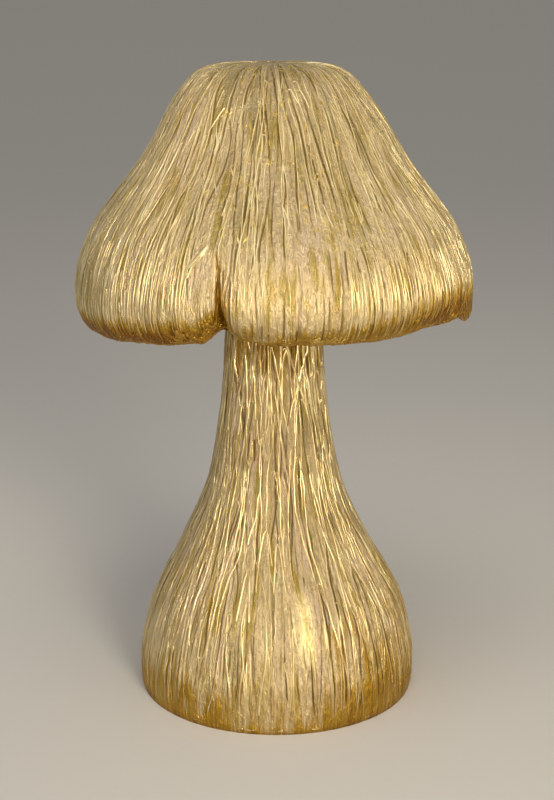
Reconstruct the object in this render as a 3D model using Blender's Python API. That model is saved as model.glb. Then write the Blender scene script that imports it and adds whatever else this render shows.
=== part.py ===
"""Decorative mushroom ornament: a bell-shaped cap casting seated on a flared stem casting.

Metres, +Z up. The origin is the centre of the flat foot that the stem stands on, and the front of the
ornament faces -Y. Azimuths are in degrees from the front, positive towards +X.
"""

import math

import bmesh
import bpy
from mathutils import Vector, geometry

# Driving dimensions
HEIGHT = 0.450  # foot to crown
SEAT_HEIGHT = 0.315  # flat ceiling under the cap, where the stem is glued
SEAT_GAP = 0.0003  # glue line between the stem's top and the cap's seat
NECK_RADIUS = 0.0335  # stem's top face
FOOT_RADIUS = 0.0992  # flat face that it stands on
CAP_RADIUS = 0.1395  # widest ring of the cap
STEM_TOP = SEAT_HEIGHT - SEAT_GAP

CAP_COLUMNS = 90
STEM_COLUMNS = 64
POINTS_PER_SPAN = 2  # mesh rows between two outline points

# Outlines as (radius, height). The stem's runs from its top face down the flare and round the foot's edge.
STEM_OUTLINE = (
    (NECK_RADIUS, STEM_TOP),
    (0.0345, 0.275),
    (0.0367, 0.235),
    (0.0405, 0.200),
    (0.0492, 0.155),
    (0.0693, 0.110),
    (0.0904, 0.070),
    (0.0999, 0.035),
    (0.1016, 0.012),
    (0.1008, 0.003),
    (FOOT_RADIUS, 0.0),
)
# The cap's runs from the crown over the bell to its widest ring. Every azimuth shares it.
BELL_OUTLINE = (
    (0.0, HEIGHT),
    (0.034, 0.4494),
    (0.050, 0.4450),
    (0.0625, 0.4335),
    (0.0723, 0.4200),
    (0.0935, 0.3850),
    (0.1127, 0.3600),
    (0.1269, 0.3400),
    (0.1355, 0.3200),
    (CAP_RADIUS - 0.0003, 0.3020),
    (CAP_RADIUS, 0.2890),
)
# Below the widest ring the edge is a thick rolled hem nearly all the way round, with its lowest point at
# HEM_LEVEL, and a thin hanging flap on the right. Both end where the hollow's ceiling begins.
HEM_LEVEL = 0.265
HEM_OUTLINE = (
    (0.1365, 0.2765),
    (0.1300, 0.2680),
    (0.1215, HEM_LEVEL),
    (0.1130, 0.2690),
    (0.1075, 0.2800),
    (0.1000, 0.2960),
    (0.0850, 0.3080),
)
FLAP_OUTLINE = (
    (0.1391, 0.2730),
    (0.1375, 0.2660),
    (0.1340, HEM_LEVEL),
    (0.1300, 0.2700),
    (0.1250, 0.2810),
    (0.1120, 0.2980),
    (0.0900, 0.3080),
)
CEILING_OUTLINE = (
    (0.0600, 0.3140),
    (0.0480, SEAT_HEIGHT),
    (0.0, SEAT_HEIGHT),
)

# How far the hem's lowest point rises above HEM_LEVEL, by azimuth: low on the left, a peak at the cleft,
# an even front, a notch and the hanging tip of the flap on the right, and soft waves behind.
HEM_RISE = (
    (-180, 0.004),
    (-150, 0.008),
    (-120, 0.003),
    (-90, 0.001),
    (-60, 0.004),
    (-40, 0.008),
    (-22, 0.012),
    (-15, 0.022),
    (-9, 0.015),
    (0, 0.013),
    (35, 0.012),
    (55, 0.015),
    (65, 0.018),
    (74, 0.012),
    (86, 0.010),
    (105, 0.014),
    (135, 0.009),
    (180, 0.004),
)
RISE_SHARE = ((HEM_LEVEL, 1), (0.330, 0))  # how much of the rise a point takes, by height
FLAP_FROM, FLAP_TO, FLAP_BLEND = 66, 104, 16  # the flap's stretch of the edge and how it blends in

# The cap's crown and the stem's foot sit slightly off the axis, by height: (height, shift along X).
AXIS_DRIFT = (
    (0.0, 0.0015),
    (0.060, 0.0020),
    (0.130, 0.0002),
    (0.200, -0.0004),
    (0.400, 0.0),
    (0.435, -0.0013),
    (HEIGHT, -0.0020),
)

# The cleft is a deep fold in the front of the hem, where its left and right lobes meet.
CLEFT_AZIMUTH = -14.3
CLEFT_DEPTHS = ((0.292, 0.020), (0.336, 0.002))  # (height, depth below the bell's surface)
CLEFT_WIDTHS = (  # (height, width), from the fold's upper end to below the hem
    (0.336, 0.0008),
    (0.312, 0.0022),
    (0.292, 0.0045),
    (0.279, 0.0110),
    (0.255, 0.0160),
)


def gilt_material(name, colour, roughness):
    material = bpy.data.materials.new(name)
    material.use_nodes = True
    shader = material.node_tree.nodes["Principled BSDF"]
    shader.inputs["Base Color"].default_value = (*colour, 1)
    shader.inputs["Metallic"].default_value = 0.8
    shader.inputs["Roughness"].default_value = roughness
    return material


def eased(table, at):
    """The table's value at a key, eased smoothly between its two nearest rows."""
    if at <= table[0][0]:
        return table[0][1]
    for (low, start), (high, end) in zip(table, table[1:]):
        if at <= high:
            part = (at - low) / (high - low)
            return start + (end - start) * part * part * (3 - 2 * part)
    return table[-1][1]


def smooth_line(outline):
    """The outline as a smooth curve through its points, with POINTS_PER_SPAN steps between two of them."""
    knots = [Vector((radius, 0, height)) for radius, height in outline]
    knots = [knots[0], *knots, knots[-1]]
    line = [knots[0]]
    for before, start, end, after in zip(knots, knots[1:], knots[2:], knots[3:]):
        reach = (end - start).length / 3
        leave = start + (end - before).normalized() * reach
        arrive = end - (after - start).normalized() * reach
        line += geometry.interpolate_bezier(start, leave, arrive, end, POINTS_PER_SPAN + 1)[1:]
    return [(point.x, point.z) for point in line]


def lathe(name, section, columns, material):
    """A closed body swept round the axis. section(azimuth) lists (radius, height) from axis to axis."""
    mesh = bmesh.new()
    azimuths = [360 * column / columns - 180 for column in range(columns)]
    sections = [section(azimuth) for azimuth in azimuths]
    rows = []
    for row in range(1, len(sections[0]) - 1):
        ring = []
        for azimuth, points in zip(azimuths, sections):
            radius, height = points[row]
            angle = math.radians(azimuth)
            drift = eased(AXIS_DRIFT, height)
            place = (radius * math.sin(angle) + drift, -radius * math.cos(angle), height)
            ring.append(mesh.verts.new(place))
        rows.append(ring)
    for upper, lower in zip(rows, rows[1:]):
        for i in range(columns):
            after = (i + 1) % columns
            mesh.faces.new((upper[i], lower[i], lower[after], upper[after]))
    for ring, height in ((rows[0], sections[0][0][1]), (rows[-1], sections[0][-1][1])):
        pole = mesh.verts.new((eased(AXIS_DRIFT, height), 0, height))
        for i in range(columns):
            mesh.faces.new((pole, ring[i], ring[(i + 1) % columns]))
    bmesh.ops.recalc_face_normals(mesh, faces=mesh.faces)
    data = bpy.data.meshes.new(name)
    mesh.to_mesh(data)
    mesh.free()
    data.shade_smooth()
    data.set_sharp_from_angle(angle=math.radians(40))
    data.materials.append(material)
    body = bpy.data.objects.new(name, data)
    bpy.context.collection.objects.link(body)
    return body


def stem_section(_azimuth):
    line = smooth_line(STEM_OUTLINE)
    return [(0, STEM_TOP), *line, (0, 0)]


def flap_share(azimuth):
    """1 along the flap, 0 along the rolled hem, eased where one turns into the other."""
    away = max(FLAP_FROM - azimuth, azimuth - FLAP_TO, 0)
    return eased(((0, 1), (FLAP_BLEND, 0)), away)


def cap_section(azimuth):
    share = flap_share(azimuth)
    edge = [
        (hem[0] + (flap[0] - hem[0]) * share, hem[1] + (flap[1] - hem[1]) * share)
        for hem, flap in zip(HEM_OUTLINE, FLAP_OUTLINE)
    ]
    line = smooth_line((*BELL_OUTLINE, *edge, *CEILING_OUTLINE))
    rise = eased(HEM_RISE, azimuth)
    rim = CEILING_OUTLINE[0][0]
    return [
        (radius, height + (rise * eased(RISE_SHARE, height) if radius > rim else 0))
        for radius, height in line
    ]


def cleft_cutter():
    """A blade that stands in the hem at the cleft's azimuth, thin at the top and wide below the edge."""
    mesh = bmesh.new()
    angle = math.radians(CLEFT_AZIMUTH)
    outward = Vector((math.sin(angle), -math.cos(angle), 0))
    sideways = Vector((math.cos(angle), math.sin(angle), 0))
    rings = []
    for height, width in CLEFT_WIDTHS:
        surface = eased(sorted((z, r) for r, z in BELL_OUTLINE), height)
        deep = surface - eased(CLEFT_DEPTHS, height)
        outer = CAP_RADIUS * 1.2
        corners = ((deep, -width / 8), (outer, -width / 2), (outer, width / 2), (deep, width / 8))
        base = Vector((0, 0, height))
        rings.append([mesh.verts.new(base + outward * out + sideways * side) for out, side in corners])
    mesh.faces.new(rings[0])
    mesh.faces.new(rings[-1])
    for upper, lower in zip(rings, rings[1:]):
        for i in range(4):
            mesh.faces.new((upper[i], lower[i], lower[(i + 1) % 4], upper[(i + 1) % 4]))
    bmesh.ops.recalc_face_normals(mesh, faces=mesh.faces)
    data = bpy.data.meshes.new("cleft_cutter")
    mesh.to_mesh(data)
    mesh.free()
    cutter = bpy.data.objects.new("cleft_cutter", data)
    cutter.hide_render = True
    cutter.display_type = "WIRE"
    bpy.context.collection.objects.link(cutter)
    return cutter


def main():
    for thing in list(bpy.data.objects):
        bpy.data.objects.remove(thing)
    lathe("stem", stem_section, STEM_COLUMNS, gilt_material("stem_gilding", (0.50, 0.37, 0.17), 0.42))
    cap = lathe("cap", cap_section, CAP_COLUMNS, gilt_material("cap_gilding", (0.53, 0.41, 0.20), 0.42))
    cleft = cap.modifiers.new("cleft", "BOOLEAN")
    cleft.operation = "DIFFERENCE"
    cleft.solver = "EXACT"
    cleft.object = cleft_cutter()


main()
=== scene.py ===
# %% [markdown]
# # A gilded mushroom ornament
# The real object is a table ornament of two cast pieces, a bell-shaped cap on a flared stem. Somebody
# combed threads and grooves into both while they were soft, gilded them with a pale champagne gold and
# rubbed an umber glaze into the grooves and along the lower edges. The lesson builds it in that order:
# the light and the camera, the two smooth castings, the combing, the raised threads, lips and crumbs,
# the ribs under the cap, and last the joining to the frame. Each finish is made where it is first used.

# %% Load the frame
import math

import bpy
import numpy as np
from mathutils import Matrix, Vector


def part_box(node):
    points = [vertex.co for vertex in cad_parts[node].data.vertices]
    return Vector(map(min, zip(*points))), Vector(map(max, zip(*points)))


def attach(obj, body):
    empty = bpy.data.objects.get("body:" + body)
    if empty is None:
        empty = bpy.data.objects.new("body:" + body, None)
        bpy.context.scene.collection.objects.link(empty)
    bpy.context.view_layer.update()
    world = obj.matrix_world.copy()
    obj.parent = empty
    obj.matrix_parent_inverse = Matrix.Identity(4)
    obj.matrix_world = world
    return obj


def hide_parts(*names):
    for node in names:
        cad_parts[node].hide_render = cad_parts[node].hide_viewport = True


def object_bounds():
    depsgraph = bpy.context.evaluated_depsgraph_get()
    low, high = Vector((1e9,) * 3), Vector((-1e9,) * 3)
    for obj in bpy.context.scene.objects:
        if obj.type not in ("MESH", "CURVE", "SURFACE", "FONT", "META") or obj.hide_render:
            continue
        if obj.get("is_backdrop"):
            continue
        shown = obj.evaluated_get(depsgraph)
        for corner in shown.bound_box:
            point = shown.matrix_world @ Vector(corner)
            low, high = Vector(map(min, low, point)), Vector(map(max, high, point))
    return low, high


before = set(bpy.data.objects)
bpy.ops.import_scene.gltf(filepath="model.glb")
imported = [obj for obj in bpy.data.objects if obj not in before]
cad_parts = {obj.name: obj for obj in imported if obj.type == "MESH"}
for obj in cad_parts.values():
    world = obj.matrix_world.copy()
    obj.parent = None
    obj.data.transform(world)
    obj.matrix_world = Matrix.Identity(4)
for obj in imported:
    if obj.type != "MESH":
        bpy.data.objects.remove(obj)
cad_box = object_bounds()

MM = 0.001  # every length is in metres
CAP_LOW, CAP_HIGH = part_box("cap")
CROWN = CAP_HIGH.z  # foot to crown
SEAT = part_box("stem")[1].z  # where the stem meets the cap's ceiling
CAP_RADIUS = (CAP_HIGH.y - CAP_LOW.y) / 2
print(f"crown {CROWN:.4f} m, seat {SEAT:.4f} m, cap radius {CAP_RADIUS:.4f} m")

# %% [markdown]
# ## Light, floor and camera
# A gilded surface shows what it mirrors, so the light decides how the relief reads. The key lamp stands
# low and a little to the right of the front. It gives every thread a bright side and a shaded side, and
# lays a highlight on the stem's foot. A weak wide lamp on the left keeps the shaded side from going
# black, and a wide one above the front lights the cap's slopes. The world is an even grey, because a
# bright one would fill the grooves with light and flatten them. The floor is flat under the ornament and
# rises softly far out, so that no horizon shows behind it.

# %% Helpers for colours, nodes and materials
def linear(hex_colour):
    """The linear red, green, blue and alpha of an sRGB colour such as #c9a86a."""
    steps = [int(hex_colour[i : i + 2], 16) / 255 for i in (1, 3, 5)]
    return (*(s / 12.92 if s <= 0.04045 else ((s + 0.055) / 1.055) ** 2.4 for s in steps), 1)


def add(tree, kind, links=None, out=0, **settings):
    """Adds a node and returns one of its outputs. links maps an input to a socket or a value."""
    node = tree.nodes.new(kind)
    for name, value in settings.items():
        setattr(node, name, value)
    for name, value in (links or {}).items():
        if isinstance(value, bpy.types.NodeSocket):
            tree.links.new(value, node.inputs[name])
        else:
            node.inputs[name].default_value = value
    return node.outputs[out] if node.outputs else None


def new_material(name):
    """A new material and its cleared node tree."""
    material = bpy.data.materials.new(name)
    material.use_nodes = True
    material.node_tree.nodes.clear()
    return material, material.node_tree


# %% The floor
FLAT_REACH, FLOOR_REACH = 3.0, 10.0  # the floor is flat this far out, and rises softly up to there
FLOOR_BEND = 0.045  # metres of rise at one metre beyond the flat part
FLOOR_RINGS = [FLAT_REACH / 2, *np.linspace(FLAT_REACH, FLOOR_REACH, 24)]
SPOKES = 96
floor_points, floor_faces = [(0, 0, 0)], []
for reach in FLOOR_RINGS:
    rise = FLOOR_BEND * max(reach - FLAT_REACH, 0) ** 2
    for turn in np.linspace(0, 2 * np.pi, SPOKES, endpoint=False):
        floor_points.append((reach * np.cos(turn), reach * np.sin(turn), rise))
for spoke in range(SPOKES):
    after = (spoke + 1) % SPOKES
    floor_faces.append((0, 1 + spoke, 1 + after))
    for start in range(1, 1 + SPOKES * (len(FLOOR_RINGS) - 1), SPOKES):
        floor_faces.append((start + spoke, start + SPOKES + spoke, start + SPOKES + after, start + after))
floor_mesh = bpy.data.meshes.new("floor")
floor_mesh.from_pydata(floor_points, [], floor_faces)
floor_mesh.shade_smooth()
floor = bpy.data.objects.new("floor", floor_mesh)
bpy.context.scene.collection.objects.link(floor)
# Matt studio paint, rolled on: no shine at all, so that the ornament's own highlights stand out.
floor_paint, floor_tree = new_material("matt_studio_floor")
matt = add(floor_tree, "ShaderNodeBsdfPrincipled", {"Base Color": linear("#d8d5cf"), "Roughness": 0.9})
add(floor_tree, "ShaderNodeOutputMaterial", {"Surface": matt})
floor_mesh.materials.append(floor_paint)
floor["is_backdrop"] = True
print(f"floor {2 * FLOOR_REACH:.0f} m across")

# %% The lamps and the world
def soft_lamp(name, azimuth, elevation, distance, size, watts, tint, spread=180):
    """A lamp of that (width, height), aimed at the ornament's middle. Azimuth 0 is in front, 90 right."""
    light = bpy.data.lights.new(name, "AREA")
    light.shape = "RECTANGLE"
    light.size, light.size_y = size
    light.energy = watts
    light.spread = math.radians(spread)
    light.color = linear(tint)[:3]
    lamp = bpy.data.objects.new(name, light)
    turn, lift = math.radians(azimuth), math.radians(elevation)
    middle = CROWN / 2
    lamp.location = (
        distance * math.sin(turn) * math.cos(lift),
        -distance * math.cos(turn) * math.cos(lift),
        middle + distance * math.sin(lift),
    )
    lamp.rotation_euler = (math.pi / 2 - lift, 0, turn)
    bpy.context.scene.collection.objects.link(lamp)


soft_lamp("key_lamp", 19, 13, 1.7, (0.45, 0.8), 5.6, "#fff2dc", spread=90)
soft_lamp("fill_lamp", -60, 25, 2.2, (1.4, 1.4), 4, "#f3f4ff")
soft_lamp("top_lamp", -5, 60, 2.2, (1.4, 1.4), 15, "#fffaf0")
world = bpy.data.worlds.new("studio")
bpy.context.scene.world = world
world.use_nodes = True
backdrop = world.node_tree.nodes["Background"].inputs
backdrop["Color"].default_value = linear("#b9b7b4")
backdrop["Strength"].default_value = 0.64
bpy.context.scene.view_settings.view_transform = "Standard"

# %% The camera
CAMERA_DISTANCE = 2.375 * CROWN
CAMERA_HEIGHT = 1.0823 * CROWN
CAMERA_ASIDE = 1.8 * MM
CAMERA_DIP = 14.407  # degrees that it looks down
camera_data = bpy.data.cameras.new("camera")
camera_data.sensor_width = 36  # mm
camera_data.lens = 69.36  # mm
camera = bpy.data.objects.new("camera", camera_data)
camera.location = (CAMERA_ASIDE, -CAMERA_DISTANCE, CAMERA_HEIGHT)
camera.rotation_euler = (math.radians(90 - CAMERA_DIP), 0, 0)
bpy.context.scene.collection.objects.link(camera)
bpy.context.scene.camera = camera
print(f"three lamps, and a camera {CAMERA_DISTANCE:.2f} m in front")

# %% [markdown]
# ## The outlines of the two castings
# Both castings are nearly round, so each is an outline that is swept round the axis. The outlines are
# short lists of points with a smooth curve through them. The points are the ones that the frame was
# built from, drawn in by the height of the relief, so that the threads' crests, and not the valleys
# between them, reach the frame's size.

# %% Outlines, as radius and height in metres
RELIEF = 1.2 * MM  # how far the crests stand off the smooth casting
STEPS = 12  # points on the curve from one outline point to the next
GLUE = 0.3 * MM  # between the stem's top and the cap's ceiling
STEM_OUTLINE = (
    (0.0335, SEAT),
    (0.0345, 0.275),
    (0.0367, 0.235),
    (0.0405, 0.200),
    (0.0492, 0.155),
    (0.0693, 0.110),
    (0.0904, 0.070),
    (0.0999, 0.035),
    (0.1016, 0.012),
    (0.1008, 0.003),
    (0.0992, 0.0),
)
BELL_OUTLINE = (
    (0.0, CROWN),
    (0.034, 0.4494),
    (0.050, 0.4450),
    (0.0625, 0.4335),
    (0.0723, 0.4200),
    (0.0935, 0.3850),
    (0.1127, 0.3600),
    (0.1269, 0.3400),
    (0.1355, 0.3200),
    (0.1392, 0.3020),
    (0.1395, 0.2890),
)
HEM_LEVEL = 0.265
HEM_OUTLINE = (
    (0.1365, 0.2765),
    (0.1300, 0.2680),
    (0.1215, HEM_LEVEL),
    (0.1130, 0.2690),
    (0.1075, 0.2800),
    (0.1000, 0.2960),
    (0.0850, 0.3080),
)
FLAP_OUTLINE = (
    (0.1391, 0.2730),
    (0.1375, 0.2660),
    (0.1340, HEM_LEVEL),
    (0.1300, 0.2700),
    (0.1250, 0.2810),
    (0.1120, 0.2980),
    (0.0900, 0.3080),
)
CEILING_OUTLINE = (
    (0.0600, 0.3140),
    (0.0480, SEAT + GLUE),
    (0.0, SEAT + GLUE),
)
HEM_BOTTOM = len(BELL_OUTLINE) + 2  # the outline point that is the hem's lowest

# %% How the outlines change with height and round the cap
# How far the hem's lowest point rises above HEM_LEVEL, by azimuth
HEM_RISE = (
    (-180, 0.004),
    (-150, 0.008),
    (-120, 0.003),
    (-90, 0.001),
    (-60, 0.004),
    (-40, 0.008),
    (-22, 0.012),
    (-15, 0.022),
    (-9, 0.015),
    (0, 0.013),
    (35, 0.012),
    (55, 0.015),
    (65, 0.018),
    (74, 0.012),
    (86, 0.010),
    (105, 0.014),
    (135, 0.009),
    (180, 0.004),
)
RISE_SHARE = ((HEM_LEVEL, 1), (0.330, 0))  # how much of the rise a point takes, by height
FLAP_FROM, FLAP_TO, FLAP_BLEND = 66, 104, 16  # the thin hanging flap's azimuths, and its soft ends
# How far the crown and the foot sit off the axis along X, by height
AXIS_DRIFT = (
    (0.0, 0.0015),
    (0.060, 0.0020),
    (0.130, 0.0002),
    (0.200, -0.0004),
    (0.400, 0.0),
    (0.435, -0.0013),
    (CROWN, -0.0020),
)


def eased(table, at):
    """The table's values at an array of keys, eased smoothly from each row to the next."""
    keys, values = np.array(table).T
    at = np.clip(at, keys[0], keys[-1])
    row = np.clip(np.searchsorted(keys, at) - 1, 0, len(keys) - 2)
    part = (at - keys[row]) / (keys[row + 1] - keys[row])
    return values[row] + (values[row + 1] - values[row]) * part * part * (3 - 2 * part)


def smooth_line(outline):
    """A smooth curve through the outline's points."""
    knots = np.array([outline[0], *outline, outline[-1]], float)
    part = np.arange(STEPS)[:, None] / STEPS
    pieces = []
    for before, start, end, after in zip(knots, knots[1:], knots[2:], knots[3:]):
        reach = np.linalg.norm(end - start) / 3
        leave = start + (end - before) / np.linalg.norm(end - before) * reach
        arrive = end - (after - start) / np.linalg.norm(after - start) * reach
        curve = start * (1 - part) ** 3 + leave * 3 * part * (1 - part) ** 2
        pieces.append(curve + arrive * 3 * part**2 * (1 - part) + end * part**3)
    return np.concatenate([*pieces, knots[-1:]])


def along(line):
    """How far along the line each of its points is, in metres."""
    return np.concatenate([[0], np.cumsum(np.linalg.norm(np.diff(line, axis=0), axis=1))])


def resampled(line, distances):
    """The line's points at those distances along it."""
    run = along(line)
    return np.stack([np.interp(distances, run, line[:, 0]), np.interp(distances, run, line[:, 1])], axis=1)


# %% [markdown]
# ## A grid over each casting
# A casting becomes a grid of points: columns round the axis and rows along the outline. Columns crowd
# together at the cleft in the cap's front, where a deep narrow fold needs them, and near the crown and
# in the hollow most of them are left out, because they would lie closer than any detail. Every later
# step works on this grid in two plain coordinates: the azimuth in degrees, 0 at the front, and the run
# in metres along the outline.

# %% Columns and rows
CLEFT_AZIMUTH = -15.0
CAP_COLUMNS, BELL_ROWS = 1296, 77
STEM_COLUMNS, STEM_ROWS = 1120, 108


def column_azimuths(count, crowd_at=None, crowd=2.0, reach=3.5):
    """Azimuths of the columns, from the back round the left, the front and the right, closer near one."""
    fine = np.linspace(-180, 180, 7201)
    density = np.ones_like(fine)
    if crowd_at is not None:
        density += crowd * np.exp(-(((fine - crowd_at) / reach) ** 2))
    share = np.concatenate([[0], np.cumsum((density[1:] + density[:-1]) / 2)])
    return np.interp(np.arange(count) / count * share[-1], share, fine)


def cap_lines(azimuths, runs_bell, runs_hollow):
    """(columns, rows, 2) radius and height: the bell down to the hem's lowest point, then the hollow."""
    away = np.maximum(np.maximum(FLAP_FROM - azimuths, azimuths - FLAP_TO), 0)
    share = eased(((0, 1), (FLAP_BLEND, 0)), away)
    rise = eased(HEM_RISE, azimuths)
    hem, flap = np.array(HEM_OUTLINE), np.array(FLAP_OUTLINE)
    turn = HEM_BOTTOM * STEPS
    lines = []
    for column in range(len(azimuths)):
        edge = hem + (flap - hem) * share[column]
        line = smooth_line((*BELL_OUTLINE, *edge, *CEILING_OUTLINE))
        lifted = line[:, 0] > CEILING_OUTLINE[0][0]
        line[:, 1] += np.where(lifted, rise[column] * eased(RISE_SHARE, line[:, 1]), 0)
        bell, hollow = line[: turn + 1], line[turn:]
        outer = resampled(bell, runs_bell * along(bell)[-1])
        inner = resampled(hollow, runs_hollow * along(hollow)[-1])
        lines.append(np.concatenate([outer, inner]))
    return np.stack(lines)


def outward(lines):
    """Unit vectors that point out of the casting, as (radius, height), for (columns, rows, 2) lines."""
    along_rows = np.gradient(lines, axis=1)
    turned = np.stack([-along_rows[..., 1], along_rows[..., 0]], axis=-1)
    return turned / np.maximum(np.linalg.norm(turned, axis=-1, keepdims=True), 1e-9)


azimuths = column_azimuths(CAP_COLUMNS, crowd_at=CLEFT_AZIMUTH)
bell_runs = np.linspace(0, 1, BELL_ROWS + 1)[1:] ** 0.92  # a little closer towards the hem
hollow_runs = np.array([0.05, 0.12, 0.22, 0.34, 0.48, 0.64, 0.82])
cap_grid = cap_lines(azimuths, bell_runs, hollow_runs)
cap_run = np.concatenate([[0], np.cumsum(np.linalg.norm(np.diff(cap_grid, axis=1), axis=-1).mean(0))])
cap_run += cap_grid[:, 0, 0].mean()
print(f"cap grid {cap_grid.shape[:2]}, {cap_run[-1] / MM:.0f} mm from crown to ceiling")

stem_azimuths = column_azimuths(STEM_COLUMNS)
stem_line = smooth_line(STEM_OUTLINE)
stem_run = np.linspace(0, along(stem_line)[-1], STEM_ROWS)
stem_grid = np.repeat(resampled(stem_line, stem_run)[None], STEM_COLUMNS, axis=0)
print(f"stem grid {stem_grid.shape[:2]}, {stem_run[-1] / MM:.0f} mm from seat to foot")

# %% [markdown]
# ## The combing
# The maker drew a comb and a modelling tool down the soft surface. A stroke leaves a groove, a sharp
# valley. The strip on one side of it is pressed lower than the strip on the other, so each strip is a
# little tilted and takes the light in its own way. The tool also throws up a burr, a thin raised thread
# beside the groove, and more threads stand alone. All of them wander, run together and fade out.
# A line is planned here as an azimuth and a strength for every row, with one width. Planning is done in
# batches, each with its own stretch of the surface, because the real combing is long and even near the
# crown, bold in the middle of the front, and short and dense along the hem. A few lines that the eye
# knows at once are drawn one by one through listed spots: creases beside the cleft, arches of thread and
# gaps on the neck. Some spots stay smoother, where a thumb or years of handling have rubbed the combing
# down.

# %% Planning lines
def wrapped(azimuth):
    """The same azimuth between -180 and 180."""
    return (azimuth + 180) % 360 - 180


class Lines:
    """Lines down a grid: azimuth and strength (0 to 1) for each line and row, and one width for each line.

    keep(azimuth, height) is the share of its strength that a line keeps at a place."""

    def __init__(self, azimuths, grid, run, keep):
        self.azimuths = azimuths
        self.heights = grid[..., 1]
        self.radius = np.maximum(grid[..., 0].mean(0), 4 * MM)
        self.height = self.heights.mean(0)
        self.run = run
        self.keep = keep
        self.parts = []

    def run_at(self, height, azimuth=None):
        """How far along the outline a height is, on the outer side, at one azimuth or on average."""
        heights = self.height
        if azimuth is not None:
            heights = self.heights[np.abs(self.azimuths - azimuth).argmin()]
        outer = slice(0, int(np.argmin(self.height)) + 1)
        return np.interp(-height, -heights[outer], self.run[outer])

    def sway(self, rng, count, size):
        """Sideways wander in metres, in long waves with shorter and smaller ones on them."""
        total = np.zeros((count, len(self.run)))
        for wave in (0.16, 0.07, 0.03):
            length = wave * rng.uniform(0.75, 1.3, (count, 1))
            swing = size * (wave / 0.16) ** 1.4 * rng.uniform(0.3, 1, (count, 1))
            total += swing * np.sin(2 * np.pi * self.run / length + rng.uniform(0, 2 * np.pi, (count, 1)))
        return total

    def batch(
        self, seed, count, sector, top, bottom, width, wander, slant=0.0, ragged=0.1, strength=(0.5, 1)
    ):
        """Lines spread over a sector of azimuths, between two heights. width and wander are in mm.

        slant turns each line a little to one side, and ragged staggers their ends."""
        rng = np.random.default_rng(seed)
        spread = (np.arange(count) + rng.uniform(0, 1, count)) / count
        begin = sector[0] + (sector[1] - sector[0]) * spread
        top_run, bottom_run = self.run_at(top), self.run_at(bottom)
        span = bottom_run - top_run
        start = (top_run + span * ragged * rng.uniform(0, 2, count))[:, None]
        end = (bottom_run - span * ragged * rng.uniform(0, 1, count))[:, None]
        part = np.clip((self.run - start) / (end - start), 0, 1)
        sideways = self.sway(rng, count, wander * MM)
        sideways += slant * rng.normal(0, 1, (count, 1)) * (part - 0.5) * span
        azimuth = wrapped(begin[:, None] + np.degrees(sideways / np.maximum(self.radius, 20 * MM)))
        taper = np.minimum(part / 0.03, (1 - part) / 0.2)
        beat = self.run / (0.012 * rng.uniform(0.7, 1.6, (count, 1)))
        pulse = 1 + 0.3 * np.sin(beat + 7 * spread[:, None])
        force = rng.uniform(*strength, (count, 1)) * np.clip(taper, 0, 1) * pulse / 1.3
        stagger = rng.normal(0, 7 * MM, (count, 1))
        force *= self.keep(azimuth, self.height + stagger)
        self.parts.append((azimuth, force, rng.uniform(width[0] * MM, width[1] * MM, count)))

    def beside(self, seed, others, share, gap, width):
        """Burrs along one side of a share of other lines, in long stretches. gap and width are in mm."""
        rng = np.random.default_rng(seed)
        azimuth, force, _ = others.joined()
        chosen = np.flatnonzero(rng.uniform(0, 1, len(azimuth)) < share)
        column = (len(chosen), 1)
        side = rng.choice([-1, 1], column) * (gap * MM)
        broken = np.sin(self.run / (22 * MM * rng.uniform(0.6, 1.6, column)) + rng.uniform(0, 6, column))
        shifted = wrapped(azimuth[chosen] + np.degrees(side / self.radius))
        force = force[chosen] * np.clip(0.8 + broken, 0, 1) * self.keep(shifted, self.height)
        width = rng.uniform(width[0] * MM, width[1] * MM, len(chosen))
        self.parts.append((shifted, force, width))

    def drawn(self, spots, width, strength=1.0):
        """One line through listed (azimuth, height) spots, from its top down. width is in mm."""
        azimuth = np.array(spots)[:, 0]
        runs = np.array([self.run_at(height, turn) for turn, height in spots])
        inside = np.minimum(self.run - runs[0], runs[-1] - self.run) / (4 * MM)
        force = strength * np.clip(inside + 0.5, 0, 1)
        self.parts.append((np.interp(self.run, runs, azimuth)[None], force[None], np.array([width * MM])))

    def joined(self):
        """All lines so far, as their azimuths, strengths and widths."""
        azimuth, force, width = zip(*self.parts)
        return np.concatenate(azimuth), np.concatenate(force), np.concatenate(width)


# %% Pressing the lines into the surface
LEAN_REACH = 4.5 * MM  # how far from a groove the tilt of its strips dies out
FLANK = 0.7  # how far a groove's flank reaches, as a share of its width
MOAT = 0.5  # how deep the tool cuts along a thread's sides, as a share of a groove
MOAT_AWAY, MOAT_WIDTH = 1.3 * MM, 0.55 * MM  # how far from the thread's middle that cut is
FAINT = 0.01  # a line weaker than this leaves no mark


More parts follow.
